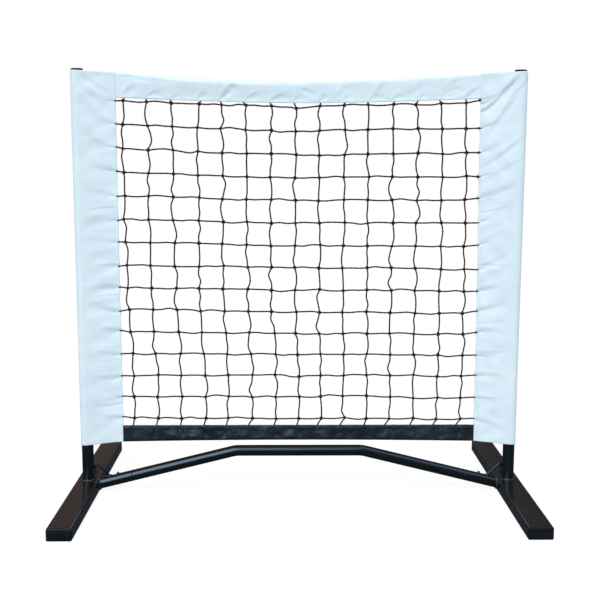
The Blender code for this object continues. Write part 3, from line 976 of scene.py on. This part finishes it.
def rope(name, node, fold, up):
    """A rope along a band's fold, thinner and a little further in where it goes into the sleeves."""
    half = EDGE_X - 0.002
    x = np.linspace(-half, half, 90)
    further = 0.001 * by_sleeve(x, 0.034, 0.006)
    path = np.stack([x, 0 * x, fold(x) - up * (CLOTH + CORD_RADIUS + 0.0006 + further)], axis=1)
    thin = 1 - 0.66 * by_sleeve(x, 0.032, 0.006)
    stand_in(Skin().tube(path, CORD_RADIUS * thin, 14).object(name, "rope"), "net", "rope", node)


# Netting

KNOT_SCATTER = (0.0012, 0.0006, 0.0008)
EDGE_KNOTS = 5
STRAIGHT_SPANS = 2


def netting():
    """Knotted netting: wavy strands both ways, and a small knot at every crossing."""
    chance = np.random.default_rng(3)
    knots = chance.normal(0, 1, (MESH_COUNT, MESH_COUNT, 3)) * KNOT_SCATTER
    for row, column in np.ndindex(MESH_COUNT, MESH_COUNT):
        x = knot_x(column)
        knots[row, column] += (x + column_drift(row, x), 0, row_height(row, x))
    skin = Skin()
    inside = EDGE_X + 0.003
    for row in range(MESH_COUNT):
        left_z, right_z = EDGE_ROWS["left"][row], EDGE_ROWS["right"][row]
        edge = EDGE_X - widening("right", right_z)
        ends = [(-inside, 0, left_z), (-EDGE_X, 0, left_z), (edge, 0, right_z), (edge + 0.003, 0, right_z)]
        stops = [*ends[:2], *knots[row], *ends[2:]]
        strand(skin, stops, chance, (0.0004, 0.0008, 0.0010))
        if row < EDGE_KNOTS:
            knot(skin, np.array([edge - 0.0022, 0, right_z]), chance, 0.8)
    for column in range(MESH_COUNT):
        x, _, z = knots[0, column]
        hem = top_hem(x)
        lean = chance.normal(0, 0.0022) + 0.004 * (hem - z > 0.009)
        upper = [(x - 1.1 * lean, 0, hem + 0.0035), (x - lean, 0, hem - 0.0006)]
        x = knots[-1, column, 0]
        lean = chance.uniform(-0.010, -0.002)
        hem = bottom_hem(x)
        lower = [(x + lean, 0, hem + 0.0006), (x + 1.1 * lean, 0, hem - 0.0035)]
        strand(skin, [*upper, *knots[:, column], *lower], chance, (0.0023, 0.0010, 0.0004))
    for centre in knots.reshape(-1, 3):
        knot(skin, centre, chance)
    stand_in(skin.object("knotted_netting", "twine"), "net", "twine", "net_mesh")


def strand(skin, stops, chance, bows):
    """One length of twine through its knots, bowing between them but straight in the bands."""
    stops = [np.asarray(stop, float) for stop in stops]
    points = [stops[0]]
    spans = len(stops) - 1
    for number, (before, after) in enumerate(zip(stops, stops[1:])):
        scale = min(1.0, np.linalg.norm(after - before) / MESH_ROW_PITCH)
        bow = chance.normal(0, 1, 3) * np.asarray(bows) * scale
        twist = chance.normal(0, 1, 3) * np.asarray(bows) * 0.5 * scale
        if number < STRAIGHT_SPANS or number >= spans - STRAIGHT_SPANS:
            points.append((before + after) / 2)
        else:
            points.append(before + (after - before) * 0.33 + bow + twist)
            points.append(before + (after - before) * 0.67 + bow - twist)
        points.append(after)
    path = flowing(points, 0.0042)
    steps = np.arange(len(path))
    tapered = 0.35 + 0.65 * smooth(np.minimum(steps, steps[::-1]), 0, 1.0)
    skin.tube(path, TWINE_RADIUS * ((1 + 0.05 * np.sin(steps * 1.9)) * tapered), 8)


def knot(skin, centre, chance, scale=1.0):
    """A tight knot: one closed loop that goes twice round its middle."""
    turns = np.linspace(0, 2 * math.pi, 25)[:-1]
    size = scale * chance.uniform(0.85, 1.1)
    reach = (0.0021 + 0.0009 * np.cos(3 * turns)) * size
    loop = np.stack(
        [reach * np.cos(2 * turns), 0.0012 * np.sin(3 * turns), reach * np.sin(2 * turns) * 1.15], axis=1
    )
    tilt = Matrix.Rotation(chance.uniform(0, 2 * math.pi), 3, "Y") @ Matrix.Rotation(
        chance.uniform(-0.4, 0.4), 3, "X"
    )
    loop = loop @ np.array(tilt).T + centre
    skin.tube(loop, 0.0013 * size, 6, reference=(0.15, 1, 0.1), looped=True)


# Steel frame

ACROSS = np.array([0.0, 1.0, 0.0])
PIPE_SIDES = 48
MOUTH_EASE = 0.0003


def crossbar_height(x):
    return CROSSBAR_TOP_Z - CROSSBAR_SLOPE * (abs(x) - CROSSBAR_BEND_X)


def on_slope(side, x):
    return np.array([side * x, 0.0, crossbar_height(x)])


def slope_inward(side):
    return unit(np.array([-side, 0.0, CROSSBAR_SLOPE]))


def slope_normal(side):
    return unit(np.array([side * CROSSBAR_SLOPE, 0.0, 1.0]))


def rounded_path(corners, radius, steps, run=0.02):
    """A polyline with an arc at each inner corner, and extra points along its straight runs."""
    path = [corners[0]]
    for before, corner, after in zip(corners, corners[1:], corners[2:]):
        arrive, leave = unit(corner - before), unit(after - corner)
        turn = math.acos(float(np.clip(arrive @ leave, -1, 1)))
        start = corner - arrive * radius * math.tan(turn / 2)
        inner = unit(leave - arrive * (arrive @ leave))
        for step in range(steps + 1):
            angle = turn * step / steps
            path.append(start + radius * (arrive * math.sin(angle) + inner * (1 - math.cos(angle))))
    path.append(corners[-1])
    full = [path[0]]
    for before, after in zip(path, path[1:]):
        count = max(1, int(np.linalg.norm(after - before) / run))
        full += [before + (after - before) * share / count for share in range(1, count + 1)]
    return np.array(full)


def pipe(name, path, radius, cut_x=None):
    """An open tube with a wall, rounded at its two mouths. Its first end can be cut at an X."""
    outer = tube_rings(path, radius, PIPE_SIDES)
    inner = tube_rings(path, radius - TUBE_WALL, PIPE_SIDES)
    first, last = unit(path[1] - path[0]), unit(path[-1] - path[-2])
    if cut_x is not None:
        step = np.linalg.norm(path[1] - path[0])
        for rings in (outer, inner):
            shift = (cut_x - rings[0][:, 0]) / first[0]
            rings[0] = rings[0] + shift[:, None] * first
            rings[1] = np.where(shift[:, None] > 0.9 * step, rings[0], rings[1])
    rings = [*mouth(outer[0], inner[0], first), *outer[1:-1], *mouth(outer[-1], inner[-1], -last)[::-1]]
    rings += [*inner[::-1]]
    skin = Skin().loft(rings, lengths=np.arange(len(rings)) * 0.01, looped=True)
    return skin.object(name, "paint", sharp=50)


def mouth(outer, inner, inward):
    """Rings that round a tube's open end, and one that keeps its shading straight."""
    eased = outer + ((outer + inner) / 2 - outer) * MOUTH_EASE / (TUBE_WALL / 2)
    return [eased, outer + inward * MOUTH_EASE, outer + inward * 0.0012]


def steel(piece, *nodes):
    stand_in(piece, "base", "painted_steel", *nodes)


def rounded_box_ring(middle, y, width, height, corner, steps=8):
    points = []
    for quarter, (right, up) in enumerate(((1, 1), (-1, 1), (-1, -1), (1, -1))):
        for step in range(steps + 1):
            angle = math.pi / 2 * (quarter + step / steps)
            points.append((
                middle.x + right * (width / 2 - corner) + corner * math.cos(angle),
                y,
                middle.z + up * (height / 2 - corner) + corner * math.sin(angle),
            ))
    return points


def foot_shell(side_name):
    """The foot's box tube, open at both ends under its plugs."""
    low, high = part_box(f"{side_name}_foot_tube")
    ease, firm = 0.0004, 0.002
    near = [(low.y, ease), (low.y + ease, 0), (low.y + firm, 0)]
    far = [(high.y - firm, 0), (high.y - ease, 0), (high.y, ease)]
    rings = []
    for y, shrink in (*near, *far, (high.y, TUBE_WALL), (low.y, TUBE_WALL)):
        width, height = high.x - low.x - 2 * shrink, high.z - low.z - 2 * shrink
        rings.append(rounded_box_ring((low + high) / 2, y, width, height, max(FOOT_CORNER - shrink, 0.001)))
    skin = Skin().loft(rings, lengths=np.arange(len(rings)) * 0.1, looped=True)
    steel(skin.object(f"{side_name}_foot_box", "foot_paint", sharp=50), f"{side_name}_foot_tube")


def bead(name, path, radius, seed, reference, looped=True):
    """A weld bead: a thick line with ripples across it."""
    chance = np.random.default_rng(seed)
    steps = np.arange(len(path))
    size = radius * (1 + 0.16 * np.sin(steps * 2 * math.pi / 5) + 0.08 * chance.normal(0, 1, len(path)))
    steel(Skin().tube(path, size, 10, reference, looped).object(name, "weld"))


def ring_path(centre, first, second, radius, count):
    turns = np.arange(count) * 2 * math.pi / count
    return centre + radius * (np.outer(np.cos(turns), first) + np.outer(np.sin(turns), second))


def upright(side_name, side):
    """The post's stub, with the weld round its foot."""
    axis = np.array([side * POST_X, 0.0, 0.0])
    path = np.array([axis + (0, 0, z) for z in np.linspace(stub_low.z, stub_high.z, 12)])
    steel(pipe(f"{side_name}_stub_tube", path, TUBE_RADIUS), f"{side_name}_post_stub")
    weld = ring_path(axis + (0, 0, foot_high.z + 0.0008), (1, 0, 0), ACROSS, TUBE_RADIUS + 0.0012, 120)
    bead(f"{side_name}_post_weld", weld, 0.0019, 31 + side, (0, 0, 1))


def crossbar_shell():
    ends = [on_slope(side, JOINT_X) + slope_inward(side) * GAP for side in (-1, 1)]
    bends = [on_slope(side, CROSSBAR_BEND_X) for side in (-1, 1)]
    path = rounded_path([ends[0], *bends, ends[1]], CROSSBAR_BEND_RADIUS, 14)
    steel(pipe("crossbar_tube", path, CROSSBAR_RADIUS), "crossbar")


def crossbar_stub(side_name, side):
    """The stub of the crossbar, cut to the foot's side, with its weld and its snap button's rim."""
    face_x = POST_X - (foot_high.x - foot_low.x) / 2 - GAP
    start, end = on_slope(side, face_x), on_slope(side, JOINT_X)
    along, up = slope_inward(side), slope_normal(side)
    path = np.array([start + (end - start) * share for share in np.linspace(0, 1, 22)])
    piece = pipe(f"{side_name}_crossbar_socket", path, CROSSBAR_RADIUS, cut_x=side * face_x)
    steel(piece, f"{side_name}_crossbar_stub")
    weld = ring_path(start, ACROSS, up, CROSSBAR_RADIUS + 0.0008, 110)
    weld += (side * (face_x - 0.0006) - weld[:, :1]) / along[0] * along
    bead(f"{side_name}_crossbar_weld", weld, 0.0017, 41 + side, (1, 0, 0))
    rim = ring_path(on_slope(side, BUTTON_X), along, ACROSS, BUTTON_HOLE_RADIUS, 40)
    rim += up * np.sqrt(CROSSBAR_RADIUS**2 - rim[:, 1:2] ** 2)
    steel(Skin().tube(rim, 0.00035, 8, up, looped=True).object(f"{side_name}_button_rim", "weld"))


def gusset(side_name, side):
    """The bent rod between the two stubs, with two welds up its leg and one round its other end."""
    leg_x = POST_X - TUBE_RADIUS - GAP - GUSSET_RADIUS
    landing = on_slope(side, GUSSET_LANDING_X) + slope_normal(side) * (CROSSBAR_RADIUS + GAP)
    low, high = GUSSET_LEG
    leg = [np.array([side * leg_x, 0.0, height]) for height in GUSSET_LEG]
    path = rounded_path([*leg, landing], GUSSET_BEND_RADIUS, 10, run=0.004)
    radius = np.full(len(path), GUSSET_RADIUS)
    radius[[0, -1]] = GUSSET_RADIUS * 0.85
    skin = Skin().tube(path, radius, 20)
    steel(skin.object(f"{side_name}_gusset_bar", "paint", sharp=60), f"{side_name}_gusset_rod")
    for rank, offset in enumerate((-0.0023, 0.0023)):
        heights = np.linspace(low + 0.001, low + 0.5 * (high - low) + 0.002, 26)
        line = np.array([(side * (leg_x + 0.0022), offset, z) for z in heights])
        bead(f"{side_name}_gusset_weld_{rank}", line, 0.0011, 51 + side + rank, ACROSS, False)
    seat = ring_path(landing, slope_inward(side), ACROSS, GUSSET_RADIUS + 0.0009, 40)
    seat[:, 0] -= side * 0.0008
    bead(f"{side_name}_gusset_seat_weld", seat, 0.0012, 61 + side, slope_normal(side))


def spring_leaf(side_name, side):
    """The bent leaf inside the insert, with a mesh of its own. On the real stand it closes up as the snap
    button pushes its upper arm down.
    """
    centre, along, up = on_slope(side, BUTTON_X), slope_inward(side), slope_normal(side)
    lower = -LEAF_UPPER_ARM - 0.001
    stations = (
        (-0.005, LEAF_UPPER_ARM), (0.005, LEAF_UPPER_ARM), (0.030, 0.003),
        (0.030, -0.003), (0.002, lower), (-0.004, lower),
    )
    corners = [centre + along * distance + up * height for distance, height in stations]
    path = rounded_path(corners, 0.002, 8, run=0.003)
    thick = np.cross(unit(np.gradient(path, axis=0)), ACROSS)
    half = ((-1.0, -0.4), (-0.97, -1.0), (0.97, -1.0), (1.0, -0.4))
    section = [*half, *((-wide, -deep) for wide, deep in half)]
    rings = np.stack([
        path + wide * LEAF_WIDTH / 2 * ACROSS + deep * LEAF_THICKNESS / 2 * thick
        for wide, deep in section
    ], axis=1)
    leaf = Skin().loft(rings).object(f"{side_name}_spring_leaf", "spring", sharp=40)
    stand_in(leaf, "base", "spring_steel", f"{side_name}_snap_spring")
    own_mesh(leaf)


NODE_LOOKS = {
    "foot_cap": "plastic",
    "post_cap": "plastic",
    "post_spigot": "zinc",
    "crossbar_insert": "zinc",
    "snap_button": "button",
    "_post": "paint",
}


def dress_cad_nodes():
    """Gives each CAD node that stays its material and joined faces, and rounds plastic and buttons."""
    for name, node in frame["nodes"].items():
        if name in replaced:
            continue
        look = next(look for part, look in NODE_LOOKS.items() if name.endswith(part))
        for slot in node.material_slots:
            slot.material = LOOKS[look]
        weld = node.modifiers.new("joined", "WELD")
        weld.merge_threshold = 0.00002
        if look in ("plastic", "button"):
            rounding = node.modifiers.new("rounding", "BEVEL")
            rounding.width = 0.0012 if name.endswith("foot_cap") else 0.0003
            rounding.segments = 3
            rounding.limit_method = "ANGLE"
            rounding.angle_limit = math.radians(35)
            rounding.harden_normals = True


# Build

for side_name, side in SIDES.items():
    foot_shell(side_name)
    upright(side_name, side)
    crossbar_stub(side_name, side)
    gusset(side_name, side)
    spring_leaf(side_name, side)
    sleeve(side_name, side)
crossbar_shell()
rope("top_rope", "top_cord", top_edge, 1)
rope("bottom_rope", "bottom_cord", bottom_edge, -1)
band(
    "top_band_cloth", "top_band", top_edge, top_hem, 1, "cloth", "coated_fabric", "pale_thread",
    seed=5, depth=0.0019, slack=0.010, swell=0.0036,
)
band(
    "bottom_band_vinyl", "bottom_band", bottom_edge, bottom_hem, -1, "vinyl", "black_vinyl", "grey_thread",
    seed=6, depth=0.0012, slack=0.008, swell=0.0010,
)
netting()
dress_cad_nodes()


# Studio

# What gloss mirrors: panels in a dim room, each with its direction, the cosines where it fades out
# and is full, and its colour. Two bluish ones are in front and high up, a brown one low behind.
DIM_ROOM = (0.045, 0.062, 0.080)
PANELS = (
    ((-0.42, -0.684, 0.597), 0.80, 1.00, (4.0, 5.5, 7.5)),
    ((0.443, -0.17, 0.88), 0.85, 0.97, (1.10, 1.50, 2.10)),
    ((-0.25, 0.92, 0.31), 0.83, 0.985, (0.140, 0.072, 0.052)),
)
WHITE = (1.0, 1.0, 1.0)

# Suns: the direction they shine from, strength and spread in degrees
SUNS = {
    "key": ((-0.16, -0.66, 0.72), 1.53, 28),
    "left": ((-0.95, -0.20, 0.25), 0.28, 40),
    "front": ((0.10, -0.80, 0.58), 0.62, 60),
    "overhead": ((0.05, -0.08, 1.0), 0.45, 45),
}
FLOOR_REACH = 40.0

CAMERA_PLACE = (-0.0287, -2.1278, 0.7349)
CAMERA_YAW = math.radians(0.8253)
CAMERA_PITCH = math.radians(8.2522)
CAMERA_ROLL = math.radians(0.1194)


def mirrored_room(sky):
    """The colour of the dim room with its panels, in each direction."""
    direction = sky.add("TexCoord", "Generated")
    colour = DIM_ROOM
    for towards, edge, full, light in PANELS:
        facing = sky.add("VectorMath", "Value", {0: direction, 1: towards}, operation="DOT_PRODUCT")
        share = sky.stretch(facing, edge, full, interpolation_type="SMOOTHSTEP")
        colour = sky.add("VectorMath", "Vector", {0: light, 1: share, 2: colour}, operation="MULTIPLY_ADD")
    return colour


def world():
    """White to the camera, the mirrored room to gloss, and a dimmer white to everything else."""
    made = bpy.data.worlds.new("studio")
    made.use_nodes = True
    made.cycles.sampling_method = "NONE"
    sky = Nodes(made.node_tree)
    result = sky.add("Background", 0, {"Color": WHITE, "Strength": 0.56})
    for flag, colour in (("Is Glossy Ray", mirrored_room(sky)), ("Is Camera Ray", WHITE)):
        background = sky.add("Background", 0, {"Color": colour, "Strength": 1.0})
        inputs = {0: sky.add("LightPath", flag), 1: result, 2: background}
        result = sky.add("MixShader", 0, inputs)
    sky.feed(sky.tree.nodes["World Output"].inputs["Surface"], result)
    bpy.context.scene.world = made
    bpy.context.scene.view_settings.view_transform = "Standard"


def suns():
    """Broad, soft lights from far away, so that the floor is as bright far off as near by."""
    for name, (towards, strength, spread) in SUNS.items():
        data = bpy.data.lights.new(name, "SUN")
        data.energy = strength
        data.angle = math.radians(spread)
        lamp = linked(name, data)
        lamp.rotation_euler = Vector(towards).to_track_quat("Z", "Y").to_euler()
        lamp.visible_glossy = False


def floor():
    mesh = bpy.data.meshes.new("studio_floor")
    corners = [(x * FLOOR_REACH, y * FLOOR_REACH, 0) for x, y in ((-1, -1), (1, -1), (1, 1), (-1, 1))]
    mesh.from_pydata(corners, [], [(0, 1, 2, 3)])
    made = placed("studio_floor", mesh, "floor")
    made.location.z = cad_low.z
    made.visible_diffuse = False
    made.visible_glossy = False


def camera():
    """The camera stands in front, a little left of the middle, and looks slightly down."""
    data = bpy.data.cameras.new("camera")
    data.lens = 59.67
    data.sensor_width = 36
    made = linked("camera", data)
    turn = Matrix.Rotation(-CAMERA_YAW, 4, "Z") @ Matrix.Rotation(math.pi / 2 - CAMERA_PITCH, 4, "X")
    made.matrix_world = Matrix.Translation(CAMERA_PLACE) @ turn @ Matrix.Rotation(CAMERA_ROLL, 4, "Z")
    bpy.context.scene.camera = made


world()
suns()
floor()
camera()
